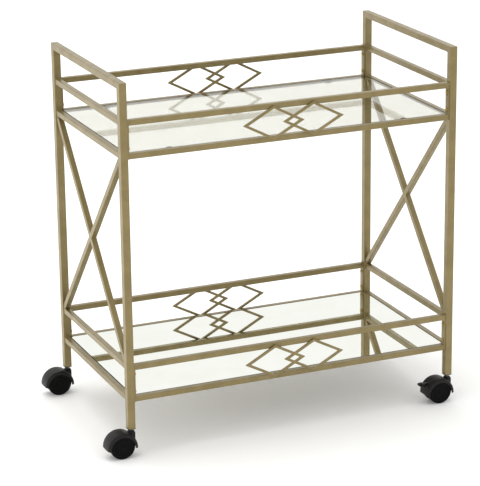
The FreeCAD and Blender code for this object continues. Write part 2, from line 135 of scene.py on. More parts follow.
@dataclass(frozen=True)
class Finish:
    """A real finish, built as a material that drifts in tone and gloss and has a fine relief.

    Attributes:
        name: What the material is and how its surface was made.
        colour: sRGB colour of most of the surface.
        drift: sRGB colour that it drifts towards in soft patches.
        patch_mm: Size of those patches.
        roughness: Lowest and highest roughness over the patches.
        metallic: Share of metal in the surface.
        grain_mm: Size of the relief's grain.
        relief_mm: Height of the relief.
        stretch: How far the grain is drawn out along X, Y and Z.
        shader: Further values set on the shader's own sockets.
    """

    name: str
    colour: str
    drift: str
    patch_mm: float
    roughness: tuple[float, float]
    metallic: float = 0.0
    grain_mm: float = 1.0
    relief_mm: float = 0.0
    stretch: tuple[float, float, float] = (1.0, 1.0, 1.0)
    shader: dict = field(default_factory=dict)

    def grain(self, tree: NodeTree, place: NodeSocket) -> NodeSocket:
        """Height of the relief: plain soft noise."""
        inputs = {"Vector": place, "Scale": 1 / (self.grain_mm * MM), "Detail": 2.0}
        return add(tree, "ShaderNodeTexNoise", inputs).outputs[0]

    def tone(self, tree: NodeTree, patch: NodeSocket) -> NodeSocket:
        """Colour of the surface, which drifts with the patches.

        Args:
            tree: The material's tree.
            patch: Height of the patches' noise.

        Returns:
            The colour.
        """
        low, high = TONE_SPAN
        share = add(tree, "ShaderNodeMapRange", {"Value": patch, "From Min": low, "From Max": high})
        first, second = 6, 7    # the Mix node's colour sockets have the names of its others
        inputs = {0: share.outputs[0], first: linear(self.colour), second: linear(self.drift)}
        return add(tree, "ShaderNodeMix", inputs, data_type="RGBA").outputs[2]

    def gloss(self, tree: NodeTree, patch: NodeSocket) -> NodeSocket:
        """Roughness of the surface, which drifts with the patches.

        Args:
            tree: The material's tree.
            patch: Height of the patches' noise.

        Returns:
            The roughness.
        """
        low, high = GLOSS_SPAN
        least, most = self.roughness
        span = {"From Min": low, "From Max": high, "To Min": least, "To Max": most}
        return add(tree, "ShaderNodeMapRange", {"Value": patch, **span}).outputs[0]

    def build(self) -> Material:
        """Build the material.

        Returns:
            The material.
        """
        material = bpy.data.materials.new(self.name)
        material.use_nodes = True
        tree = material.node_tree
        tree.nodes.clear()
        centre = sum(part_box("glass_shelf"), Vector()) / 2
        where = add(tree, "ShaderNodeTexCoord").outputs["Object"]
        scale = Vector(1 / s for s in self.stretch)
        shift = {"Vector": where, "Location": -centre * scale, "Scale": scale}
        place = add(tree, "ShaderNodeMapping", shift).outputs[0]
        patch = add(
            tree,
            "ShaderNodeTexNoise",
            {"Vector": place, "Scale": 1 / (self.patch_mm * MM), "Detail": 3.0, "Roughness": 0.55},
        ).outputs[0]
        values = {
            "Base Color": self.tone(tree, patch),
            "Roughness": self.gloss(tree, patch),
            "Metallic": self.metallic,
            **self.shader,
        }
        if self.relief_mm:
            height = self.grain(tree, place)
            relief = {"Height": height, "Distance": self.relief_mm * MM, "Strength": 1.0}
            values["Normal"] = add(tree, "ShaderNodeBump", relief).outputs[0]
        shader = add(tree, "ShaderNodeBsdfPrincipled", values)
        add(tree, "ShaderNodeOutputMaterial", {"Surface": shader.outputs[0]})
        return material


@dataclass(frozen=True)
class EtchedPlastic(Finish):
    """Moulded plastic whose mould was spark-eroded: tiny rounded pits all over."""

    def grain(self, tree: NodeTree, place: NodeSocket) -> NodeSocket:
        """Height of the relief: rounded cells."""
        inputs = {"Vector": place, "Scale": 1 / (self.grain_mm * MM)}
        return add(tree, "ShaderNodeTexVoronoi", inputs, feature="SMOOTH_F1").outputs[0]


# Metallic lacquer sprayed on steel tube: a warm khaki gold with a soft sheen and a faint
# orange peel. The peel of about 1 mm is drawn at 3 mm, or it would not show.
GOLD_PAINT = Finish(
    "champagne_lacquer_sprayed_on_steel", "#86764A", "#7D6E42", 26.0, (0.34, 0.44),
    metallic=0.45, grain_mm=3.0, relief_mm=0.05,
    shader={"Coat Weight": 0.4, "Coat Roughness": 0.24},
)
# Yellow zinc plate on steel: shinier and yellower than the lacquer, slightly uneven.
SCREW_PLATE = Finish(
    "yellow_zinc_plated_steel", "#B59C5C", "#A58C50", 4.0, (0.25, 0.38), metallic=1.0,
    grain_mm=0.6, relief_mm=0.01,
)
# Float glass, flat and wiped: nearly clear, a breath of green, faint smears in the gloss.
CLEAR_GLASS = Finish(
    "float_glass_polished", "#DBDBD1", "#D8D8CD", 60.0, (0.0, 0.03),
    shader={"Transmission Weight": 1.0, "IOR": 1.52},
)
# The sheet's ground edge: light crosses the whole sheet to get there, so it is bottle green.
GLASS_EDGE = Finish(
    "float_glass_ground_edge", "#26332B", "#1F2B24", 30.0, (0.22, 0.34),
    grain_mm=0.8, relief_mm=0.02, shader={"IOR": 1.52, "Specular IOR Level": 0.3},
)
# Silver coat under glass: a true mirror with a faint warm green cast.
MIRROR_SILVER = Finish(
    "mirror_silver_behind_glass", "#F7F9F1", "#F4F6ED", 80.0, (0.01, 0.03), metallic=1.0,
)
# Backing paint of the mirror: matt pale grey, rolled on.
MIRROR_BACK = Finish(
    "mirror_backing_paint_rolled", "#B9B6AE", "#ADA9A0", 20.0, (0.55, 0.7),
    grain_mm=1.5, relief_mm=0.06, stretch=(6.0, 1.0, 1.0),
)
# Glass-filled nylon from an etched mould: near black with a dull grey bloom on its crown.
BLACK_NYLON = EtchedPlastic(
    "black_nylon_moulded_etched", "#0E0D0D", "#151413", 12.0, (0.36, 0.5),
    grain_mm=0.9, relief_mm=0.05, shader={"IOR": 1.5, "Specular IOR Level": 0.25},
)
# The wheels' discs come from a blasted mould: deep black, with almost no gloss.
WHEEL_DISC = Finish(
    "black_acetal_moulded_satin", "#0A0A0A", "#0F0F0F", 9.0, (0.42, 0.52),
    grain_mm=1.2, relief_mm=0.02, shader={"Specular IOR Level": 0.06},
)
# Tyre band, turned true after moulding: dull, with rings round the tread.
WHEEL_TREAD = Finish(
    "black_acetal_tread_scuffed", "#121211", "#1D1C1A", 5.0, (0.5, 0.68),
    grain_mm=0.8, relief_mm=0.05, stretch=(1.0, 0.35, 1.0), shader={"Specular IOR Level": 0.2},
)
# Low-density polyethylene plug: soft black with a waxy gloss.
PLUG_BLACK = Finish(
    "black_polyethylene_moulded", "#141414", "#1C1C1B", 6.0, (0.42, 0.55),
    grain_mm=0.8, relief_mm=0.02, shader={"IOR": 1.51},
)
# Bright zinc plate on turned steel: cool grey, fine rings round the stem.
ZINC_STEEL = Finish(
    "bright_zinc_plated_turned_steel", "#B9BABA", "#A4A6A8", 3.0, (0.22, 0.36), metallic=1.0,
    grain_mm=0.5, relief_mm=0.015, stretch=(4.0, 4.0, 0.5),
)
# Silicone bumper: milky, soft, slightly shiny.
SOFT_PAD = Finish(
    "silicone_bumper_cast", "#DCDCD4", "#D0D0C6", 5.0, (0.3, 0.42),
    grain_mm=1.0, relief_mm=0.02, shader={"Transmission Weight": 0.4, "IOR": 1.41},
)
# Matt white studio paper.
STUDIO_PAPER = Finish(
    "white_studio_paper_matt", "#FDFDFC", "#FBFBF9", 400.0, (0.75, 0.9),
    grain_mm=4.0, relief_mm=0.03,
)


@dataclass(frozen=True)
class Palette:
    """Every finish of the cart, built once."""

    paint: Material
    screw: Material
    glass: Material
    glass_edge: Material
    silver: Material
    backing: Material
    nylon: Material
    disc: Material
    tread: Material
    plug: Material
    steel: Material
    pad: Material

    @classmethod
    def build(cls) -> "Palette":
        """Build all the materials.

        Returns:
            The palette that holds them.
        """
        finishes = (
            GOLD_PAINT, SCREW_PLATE, CLEAR_GLASS, GLASS_EDGE, MIRROR_SILVER, MIRROR_BACK,
            BLACK_NYLON, WHEEL_DISC, WHEEL_TREAD, PLUG_BLACK, ZINC_STEEL, SOFT_PAD,
        )
        return cls(*[finish.build() for finish in finishes])


# ------------------------ mesh making


def new_piece(name: str, shell: BMesh) -> Object:
    """Turn a bmesh into an object of the scene, and free it.

    Args:
        name: Name of the object and of its mesh.
        shell: The mesh, which is used up.

    Returns:
        The object.
    """
    mesh = bpy.data.meshes.new(name)
    shell.to_mesh(mesh)
    shell.free()
    piece = bpy.data.objects.new(name, mesh)
    bpy.context.scene.collection.objects.link(piece)
    return piece


def merged(node: str) -> BMesh:
    """Copy a CAD node's mesh with its loose triangles joined.

    Args:
        node: The CAD node.

    Returns:
        The copy.
    """
    shell = bmesh.new()
    shell.from_mesh(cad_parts[node].data)
    bmesh.ops.remove_doubles(shell, verts=shell.verts, dist=MERGE)
    return shell


def solids_of(node: str) -> list[tuple[Vector, Vector]]:
    """Find the box of each separate solid in a CAD node.

    Args:
        node: The CAD node.

    Returns:
        Lowest and highest corner of each solid, in order of their lowest corners.
    """
    shell = merged(node)
    left = set(shell.verts)
    boxes = []
    while left:
        todo = [left.pop()]
        found = []
        while todo:
            vert = todo.pop()
            found.append(vert.co.copy())
            for edge in vert.link_edges:
                other = edge.other_vert(vert)
                if other in left:
                    left.discard(other)
                    todo.append(other)
        low = Vector(min(co[i] for co in found) for i in range(3))
        high = Vector(max(co[i] for co in found) for i in range(3))
        boxes.append((low, high))
    shell.free()
    return sorted(boxes, key=lambda pair: tuple(round(v, 4) for v in pair[0]))


def baked(piece: Object) -> Object:
    """Turn a piece's modifiers into a plain mesh.

    Args:
        piece: The piece.

    Returns:
        The same piece with a new mesh and no modifiers.
    """
    graph = bpy.context.evaluated_depsgraph_get()
    mesh = bpy.data.meshes.new_from_object(
        piece.evaluated_get(graph), preserve_all_data_layers=True, depsgraph=graph
    )
    piece.modifiers.clear()
    piece.data = mesh
    return piece


def smooth(piece: Object) -> Object:
    """Shade a piece smoothly, with its sharp edges kept.

    Args:
        piece: The piece.

    Returns:
        The same piece.
    """
    piece.data.shade_smooth()
    piece.data.set_sharp_from_angle(angle=math.radians(SHARP_ANGLE))
    return piece


def eased(piece: Object, ease_mm: float) -> Object:
    """Round off a piece's sharp edges.

    Args:
        piece: The piece, with a clean closed mesh.
        ease_mm: Width of the rounding.

    Returns:
        The same piece with a new mesh.
    """
    piece.data.shade_smooth()
    bevel = piece.modifiers.new("ease", "BEVEL")
    bevel.width = ease_mm * MM
    bevel.segments = EASE_STEPS
    bevel.limit_method = "ANGLE"
    bevel.angle_limit = math.radians(SHARP_ANGLE)
    bevel.harden_normals = True
    baked(piece)
    shell = bmesh.new()
    shell.from_mesh(piece.data)
    bmesh.ops.dissolve_degenerate(shell, dist=SPECK, edges=shell.edges)
    shell.to_mesh(piece.data)
    shell.free()
    return piece


def lathe(profile: Sequence[tuple[float, float]], segments: int) -> BMesh:
    """Turn a profile round +Z into a closed skin.

    Args:
        profile: Radius and height of each point, in millimetres, from one pole to the other.
        segments: Faces round the axis.

    Returns:
        The mesh.
    """
    shell = bmesh.new()
    rings = []
    for radius, height in profile:
        if radius == 0:
            rings.append([shell.verts.new((0, 0, height * MM))])
            continue
        ring = []
        for step in range(segments):
            angle = 2 * math.pi * step / segments
            at = (radius * MM * math.cos(angle), radius * MM * math.sin(angle), height * MM)
            ring.append(shell.verts.new(at))
        rings.append(ring)
    for low, high in zip(rings, rings[1:]):
        for step in range(segments):
            after = (step + 1) % segments
            corners = [low[step % len(low)], low[after % len(low)]]
            corners += [high[after % len(high)], high[step % len(high)]]
            shell.faces.new(list(dict.fromkeys(corners)))
    bmesh.ops.recalc_face_normals(shell, faces=shell.faces)
    return shell


def rounded_outline(half_x: float, half_y: float, corner: float, steps: int) -> list[Vector]:
    """Points of a rectangle with rounded corners, anticlockwise.

    Args:
        half_x: Half of its length, in metres.
        half_y: Half of its width.
        corner: Radius of its corners.
        steps: Faces round each corner.

    Returns:
        The points, at height 0.
    """
    points = []
    for quarter, (side_x, side_y) in enumerate(((1, 1), (-1, 1), (-1, -1), (1, -1))):
        centre = Vector((side_x * (half_x - corner), side_y * (half_y - corner), 0))
        for step in range(steps + 1):
            angle = math.radians(QUARTER * (quarter + step / steps))
            points.append(centre + Vector((math.cos(angle), math.sin(angle), 0)) * corner)
    return points


def skinned(rings: Sequence[Sequence[Vector]], closed: bool = True) -> BMesh:
    """Join rings of points, each of the same number, into a skin with closed ends.

    Args:
        rings: The rings, in order.
        closed: Whether flat faces close the first and last ring.

    Returns:
        The mesh.
    """
    shell = bmesh.new()
    rows = [[shell.verts.new(point) for point in ring] for ring in rings]
    count = len(rows[0])
    for low, high in zip(rows, rows[1:]):
        for step in range(count):
            after = (step + 1) % count
            shell.faces.new((low[step], low[after], high[after], high[step]))
    if closed:
        shell.faces.new(rows[0][::-1])
        shell.faces.new(rows[-1])
    bmesh.ops.recalc_face_normals(shell, faces=shell.faces)
    return shell


def assign(piece: Object, *materials: Material) -> Object:
    """Give a piece its materials in place of any it has.

    Args:
        piece: The piece, whose faces keep their material numbers.
        *materials: The materials, in order of those numbers.

    Returns:
        The same piece.
    """
    numbers = [face.material_index for face in piece.data.polygons]
    piece.data.materials.clear()
    for material in materials:
        piece.data.materials.append(material)
    last = len(materials) - 1
    for face, number in zip(piece.data.polygons, numbers):
        face.material_index = min(number, last)
    return piece


def deliver(piece: Object, body: str, slot: str, *nodes: str) -> Object:
    """Hand a finished piece to the frame.

    Args:
        piece: The finished piece.
        body: The CAD body that it rides on.
        slot: Not used.
        *nodes: The CAD nodes that it stands for.

    Returns:
        The same piece.
    """
    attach(piece, body)
    if nodes:
        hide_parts(*nodes)
    LOG.info("%s rides on %s, %d faces", piece.name, body, len(piece.data.polygons))
    return piece


def ease_node(
    node: str, name: str, ease_mm: float, material: Material, body: str, slot: str
) -> None:
    """Stand a copy with rounded edges in for a CAD node.

    Args:
        node: The CAD node.
        name: Name of the copy.
        ease_mm: Width of the rounding.
        material: Its material.
        body: The CAD body that it rides on.
        slot: Name of a material slot, handed on to deliver.
    """
    shell = merged(node)
    flat = math.radians(FLAT_ANGLE)
    bmesh.ops.dissolve_limit(shell, angle_limit=flat, verts=shell.verts, edges=shell.edges)
    piece = eased(new_piece(name, shell), ease_mm)
    deliver(assign(piece, material), body, slot, node)


def dress(node: str, material: Material) -> None:
    """Give a CAD node that stays its finish.

    Args:
        node: The CAD node.
        material: Its material.
    """
    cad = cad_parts[node]
    if not cad.material_slots:
        cad.data.materials.append(material)
    for holder in cad.material_slots:
        holder.material = material


# ------------------------ repeats by Geometry Nodes

REPEAT_TREE = "copies_at_points"


def repeat_tree() -> NodeTree:
    """Build a tree that sets a copy of a template at every point of its carrier.

    Each copy is turned by the point's attribute "turn". The copies are then made slightly
    uneven, and given their finish.

    Returns:
        The tree.
    """
    tree = bpy.data.node_groups.new(REPEAT_TREE, "GeometryNodeTree")
    sockets = (
        ("Geometry", "Geometry"), ("Template", "Object"), ("Size", "Float"),
        ("Unevenness", "Float"), ("Ripple Length", "Float"), ("Seed", "Int"),
        ("Finish", "Material"),
    )
    for name, kind in sockets:
        tree.interface.new_socket(name, in_out="INPUT", socket_type="NodeSocket" + kind)
    tree.interface.new_socket("Geometry", in_out="OUTPUT", socket_type="NodeSocketGeometry")
    given = add(tree, "NodeGroupInput").outputs
    shape = add(tree, "GeometryNodeObjectInfo", {"Object": given["Template"]})
    turn = add(tree, "GeometryNodeInputNamedAttribute", {"Name": "turn"}, data_type="FLOAT_VECTOR")
    copies = add(
        tree,
        "GeometryNodeInstanceOnPoints",
        {
            "Points": given["Geometry"],
            "Instance": shape.outputs["Geometry"],
            "Rotation": turn.outputs[0],
            "Scale": given["Size"],
        },
    )
    real = add(tree, "GeometryNodeRealizeInstances", {"Geometry": copies.outputs[0]})
    per_metre = add(tree, "ShaderNodeMath", {0: 1.0, 1: given["Ripple Length"]}, operation="DIVIDE")
    noise = add(
        tree,
        "ShaderNodeTexNoise",
        {"W": given["Seed"], "Scale": per_metre.outputs[0]},
        noise_dimensions="4D",
    )
    swing = add(tree, "ShaderNodeMath", {0: noise.outputs[0], 1: 0.5}, operation="SUBTRACT")
    height = add(
        tree, "ShaderNodeMath", {0: swing.outputs[0], 1: given["Unevenness"]}, operation="MULTIPLY"
    )
    normal = add(tree, "GeometryNodeInputNormal")
    offset = add(
        tree,
        "ShaderNodeVectorMath",
        {0: normal.outputs[0], "Scale": height.outputs[0]},
        operation="SCALE",
    )
    moved = add(
        tree, "GeometryNodeSetPosition", {"Geometry": real.outputs[0], "Offset": offset.outputs[0]}
    )
    painted = add(
        tree, "GeometryNodeSetMaterial", {"Geometry": moved.outputs[0], "Material": given["Finish"]}
    )
    add(tree, "NodeGroupOutput", {"Geometry": painted.outputs[0]})
    return tree


@dataclass
class Repeats:
    """Copies of one shape at many places, as one plain mesh.

    Attributes:
        name: Name of the piece.
        template: The shape, which is used up.
        places: Where each copy goes.
        finish: Its material.
        unevenness_mm: How far its skin swells and sinks.
        ripple_mm: Length of one swell.
        seed: Seed of the unevenness.
    """

    name: str
    template: Object
    places: Sequence[Matrix]
    finish: Material
    unevenness_mm: float = 0.0
    ripple_mm: float = 2.0
    seed: int = 3

    def build(self) -> Object:
        """Build the piece and remove the template.

        Returns:
            The piece, which is a plain mesh.
        """
        carrier = bpy.data.meshes.new(self.name)
        carrier.from_pydata([place.translation for place in self.places], [], [])
        turns = carrier.attributes.new("turn", "FLOAT_VECTOR", "POINT")
        for point, place in zip(turns.data, self.places):
            point.vector = place.to_euler()
        piece = bpy.data.objects.new(self.name, carrier)
        bpy.context.scene.collection.objects.link(piece)
        modifier = piece.modifiers.new("copies", "NODES")
        modifier.node_group = bpy.data.node_groups.get(REPEAT_TREE) or repeat_tree()
        values = {
            "Template": self.template,
            "Size": 1.0,
            "Unevenness": self.unevenness_mm * MM,
            "Ripple Length": self.ripple_mm * MM,
            "Seed": self.seed,
            "Finish": self.finish,
        }
        for socket in modifier.node_group.interface.items_tree:
            if socket.in_out == "INPUT" and socket.name in values:
                modifier[socket.identifier] = values[socket.name]
        baked(piece)
        bpy.data.objects.remove(self.template)
        return smooth(assign(piece, self.finish))


def placed(at: Vector, turn: Euler | Matrix | None = None) -> Matrix:
    """A place and a turn as one matrix."""
    turned = turn.to_matrix() if isinstance(turn, Euler) else (turn or Matrix.Identity(3))
    return Matrix.Translation(at) @ turned.to_4x4()


# ------------------------ sub-assemblies


@dataclass
class TubeFrame:
    """End frames and long rails in painted square tube, with the welds that join them.

    Attributes:
        finishes: The cart's materials.
        tubes: How the names of the tubes' nodes start.
        tube_corner_mm: Radius of a weld's corners round a tube.
        leg_mm: Leg of a weld's hollow face.
        sink_mm: How far a weld reaches into what it joins.
        steps: Faces across a weld.
        corner_steps: Faces round a corner of a weld.
        strip_mm: Length of a straight weld.
        collar_unevenness_mm: How uneven a weld round a tube is.
        strip_unevenness_mm: How uneven a straight weld is.
    """

    finishes: Palette
    tubes: tuple[str, ...] = (
        "post_front", "post_rear", "handle_bar", "brace_whole", "brace_half", "side_", "long_",
    )
    tube_corner_mm: float = 1.0
    leg_mm: float = 1.0
    sink_mm: float = 0.25
    steps: int = 5
    corner_steps: int = 4
    strip_mm: float = 9.0
    collar_unevenness_mm: float = 0.18
    strip_unevenness_mm: float = 0.12

    def paint_tubes(self) -> None:
        """Give every tube its lacquer."""
        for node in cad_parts:
            if node.startswith(self.tubes):
                dress(node, self.finishes.paint)

    def hollow(self) -> list[tuple[float, float]]:
        """Find the points of a weld's hollow face.

        Returns:
            Way out along the post and way up along the tube of each point, in metres.
        """
        points = []
        for step in range(self.steps + 1):
            angle = math.radians(QUARTER * step / self.steps)
            points.append((1 - math.sin(angle), 1 - math.cos(angle)))
        return [(out * self.leg_mm * MM, up * self.leg_mm * MM) for out, up in points]

    def collar(self, tube_mm: float) -> Object:
        """Build a weld all round a square tube that stands on +Z.

        Args:
            tube_mm: Width of the tube.

        Returns:
            The weld, round the origin.
        """
        sink = self.sink_mm * MM
        half, corner = tube_mm * MM / 2, self.tube_corner_mm * MM
        inner = rounded_outline(half - sink, half - sink, corner, self.corner_steps)
        rings = [[point + Vector((0, 0, -sink)) for point in inner]]
        face = self.hollow()
        for out, up in [(face[0][0], -sink), *face]:
            grown = rounded_outline(half + out, half + out, corner + out, self.corner_steps)
            rings.append([point + Vector((0, 0, up)) for point in grown])
        rings.append([point + Vector((0, 0, self.leg_mm * MM)) for point in inner])
        shell = skinned([*rings, rings[0]], closed=False)
        bmesh.ops.remove_doubles(shell, verts=shell.verts, dist=MERGE)
        bmesh.ops.recalc_face_normals(shell, faces=shell.faces)
        return new_piece("weld_collar_template", shell)

    def strip(self) -> Object:
        """Build a weld along Y in the corner between faces that look along +X and +Z.

        Returns:
            The weld, with that corner at the origin.
        """
        sink = self.sink_mm * MM
        leg = self.leg_mm * MM
        outline = [(-sink, -sink), (leg, -sink), *self.hollow(), (-sink, leg)]
        half = self.strip_mm * MM / 2
        ends = [[Vector((x, y, z)) for x, z in outline] for y in (-half, half)]
        return new_piece("weld_strip_template", skinned(ends))

    def side_rail_places(self) -> list[Matrix]:
        """Find both ends of every side rail, where it meets a post.

        Returns:
            Place and turn of each weld.
        """
        places = []
        for tier in Tier:
            for side in ("left", "right"):
                for kind in ("guard", "shelf"):
                    low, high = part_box(f"side_{kind}_rail_{tier.value}_{side}")
                    middle = (low + high) / 2
                    for y, turn in ((low.y, -QUARTER), (high.y, QUARTER)):
                        at = Vector((middle.x, y, middle.z))
                        places.append(placed(at, Euler((math.radians(turn), 0, 0))))
        return places

    def end_plate_places(self) -> list[Matrix]:
        """Find both ends of every long rail, on the side of it that its end plate passes.

        Returns:
            Place and turn of each weld.
        """
        places = []
        for tier in Tier:
            for face in ("front", "rear"):
                for kind, turned in (("guard", True), ("shelf", False)):
                    low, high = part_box(f"long_{kind}_rail_{tier.value}_{face}")
                    y, z = (low.y + high.y) / 2, low.z if turned else high.z
                    near = Euler((math.pi, 0, 0)) if turned else Euler((0, 0, 0))
                    far = Euler((0, math.pi, 0)) if turned else Euler((0, 0, math.pi))
                    places.append(placed(Vector((low.x, y, z)), near))
                    places.append(placed(Vector((high.x, y, z)), far))
        return places

    def crossing_places(self) -> list[Matrix]:
        """Find the four corners of each X where its braces cross.

        Returns:
            Place and turn of each weld.
        """
        places = []
        for side in ("left", "right"):
            low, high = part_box(f"brace_whole_{side}")
            middle = (low + high) / 2
            rail_low, rail_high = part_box(f"side_shelf_rail_upper_{side}")
            half = (rail_high.x - rail_low.x) / 2
            rise = (high.z - low.z) / (high.y - low.y)
            along = [Vector((0, sign, rise)).normalized() for sign in (-1, 1)]
            reach = half / along[0].cross(along[1]).length
            for first in (-1, 1):
                for second in (-1, 1):
                    way = (along[0] * first + along[1] * second).normalized()
                    at = middle + way * (along[0] * first + along[1] * second).length * reach
                    across = Vector((1, 0, 0))
                    beside = way.cross(across)
                    legs = Matrix((way + beside, across * -math.sqrt(2), way - beside)).transposed()
                    places.append(placed(at, legs * (1 / math.sqrt(2))))
        return places

    def build(self) -> None:
        """Paint the tubes and lay the welds."""
        self.paint_tubes()
        rail_low, rail_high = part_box("side_shelf_rail_upper_left")
        tube_mm = (rail_high.z - rail_low.z) / MM
        collars = Repeats(
            "rail_welds", self.collar(tube_mm), self.side_rail_places(), self.finishes.paint,
            unevenness_mm=self.collar_unevenness_mm,
        )
        strips = Repeats(
            "corner_welds", self.strip(), self.end_plate_places() + self.crossing_places(),
            self.finishes.paint, unevenness_mm=self.strip_unevenness_mm,
        )
        for repeats in (collars, strips):
            deliver(repeats.build(), "frame", "gold_paint")


@dataclass
class LongPanels:
    """Diamond motifs, end plates and screws of the long sides.

    Attributes:
        finishes: The cart's materials.
        bar_ease_mm: Rounding of the motif's bars.
        plate_ease_mm: Rounding of the end plates.
        screw_sides: Faces round a screw.
        tip_mm: Radius and height of the points of a screw's tip, from its seat.
        thread_mm: Height of the first groove, the thread's pitch, and the radius of its root.
        thread_turns: Turns of the thread.
        crest_mm: Radius of the thread's crest, and where it starts and ends above a groove.
        head_mm: Radius and height of the points of the neck and the head.
        recess_mm: Half-length, half-width and depth of a screw's cross recess.
        recess_ends: Height above the head, and share of the half-length below and above.
        screw_spin: Degrees that each screw is turned further than the one before.
    """

    finishes: Palette
    bar_ease_mm: float = 0.6
    plate_ease_mm: float = 0.4
    screw_sides: int = 28
    tip_mm: Profile = ((0, -12), (1.0, -12), (1.9, -10.6))
    thread_mm: tuple[float, float, float] = (-10.4, 0.8, 1.72)
    thread_turns: int = 12
    crest_mm: tuple[float, float, float] = (2.0, 0.3, 0.42)
    head_mm: Profile = (
        (1.9, -0.4), (1.9, 0), (3.55, 0), (3.6, 0.1), (3.6, 0.9), (3.5, 1.3),
        (3.2, 1.75), (2.6, 2.1), (1.7, 2.33), (0, 2.4),
    )
    recess_mm: tuple[float, float, float] = (2.1, 0.5, 1.4)
    recess_ends: tuple[float, float, float] = (1.0, 0.55, 1.3)
    screw_spin: float = 37.0

    def recess_tool(self) -> Object:
        """Build two crossed wedges, to cut the recess out of a screw's head.

        Returns:
            The wedges, as one piece.
        """
        long, wide, deep = self.recess_mm
        above, floor_share, mouth_share = self.recess_ends
        top = self.head_mm[-1][1]
        cutter = bmesh.new()
        for reach_x, reach_y in ((long, wide), (wide, long)):
            rings = []
            for height, share in ((top - deep, floor_share), (top + above, mouth_share)):
                ring = []
                for side_x, side_y in ((-1, -1), (1, -1), (1, 1), (-1, 1)):
                    x = side_x * (reach_x * share if reach_x > reach_y else reach_x)
                    y = side_y * (reach_y * share if reach_y > reach_x else reach_y)
                    ring.append(cutter.verts.new((x * MM, y * MM, height * MM)))
                rings.append(ring)
            low, high = rings
            cutter.faces.new(low[::-1])
            cutter.faces.new(high)
            for step in range(len(low)):
                after = (step + 1) % len(low)
                cutter.faces.new((low[step], low[after], high[after], high[step]))
        return new_piece("recess_tool", cutter)

    def screw(self) -> Object:
        """Build a pan-head screw with its head on +Z and its seat at the origin.

        Returns:
            The screw.
        """
        start, pitch, root = self.thread_mm
        crest, rise, fall = self.crest_mm
        profile = list(self.tip_mm)
        for turn in range(self.thread_turns):
            foot = start + turn * pitch
            profile += [(root, foot), (crest, foot + rise), (crest, foot + fall)]
        piece = new_piece("screw_template", lathe([*profile, *self.head_mm], self.screw_sides))
        tool = self.recess_tool()
        cut = piece.modifiers.new("recess", "BOOLEAN")
        cut.operation = "DIFFERENCE"
        cut.solver = "EXACT"
        cut.use_self = True
        cut.object = tool
        baked(piece)
        bpy.data.objects.remove(tool)
        return piece

    def screw_places(self) -> list[Matrix]:
        """Find the seat of each screw, whose head looks towards the middle of the cart.

        Returns:
            Place and turn of each screw.
        """
        places = []
        plates = solids_of("panel_end_plates")
        for index, (low, high) in enumerate(solids_of("panel_screws")):
            middle = (low + high) / 2
            side = math.copysign(1, middle.x)
            seats = [
                abs(plate_low.x) if side > 0 else abs(plate_high.x)
                for plate_low, plate_high in plates
                if math.copysign(1, plate_low.x) == side
            ]
            lay = Euler((0, math.radians(-QUARTER * side), 0)).to_matrix()
            spin = Euler((0, 0, math.radians(self.screw_spin * index))).to_matrix()
            places.append(placed(Vector((side * min(seats), middle.y, middle.z)), lay @ spin))
        return places

    def build(self) -> None:
        """Build the motifs, the plates and the screws."""
        paint = self.finishes.paint
        for tier in Tier:
            for face in ("front", "rear"):
                place = f"{tier.value}_{face}"
                node, name = f"diamond_motif_{place}", f"diamond_bars_{place}"
                ease_node(node, name, self.bar_ease_mm, paint, "frame", "gold_paint")
        node, name = "panel_end_plates", "end_plates_eased"
        ease_node(node, name, self.plate_ease_mm, paint, "frame", "gold_paint")
        screws = Repeats("pan_head_screws", self.screw(), self.screw_places(), self.finishes.screw)
        deliver(screws.build(), "frame", "gold_screw", "panel_screws")


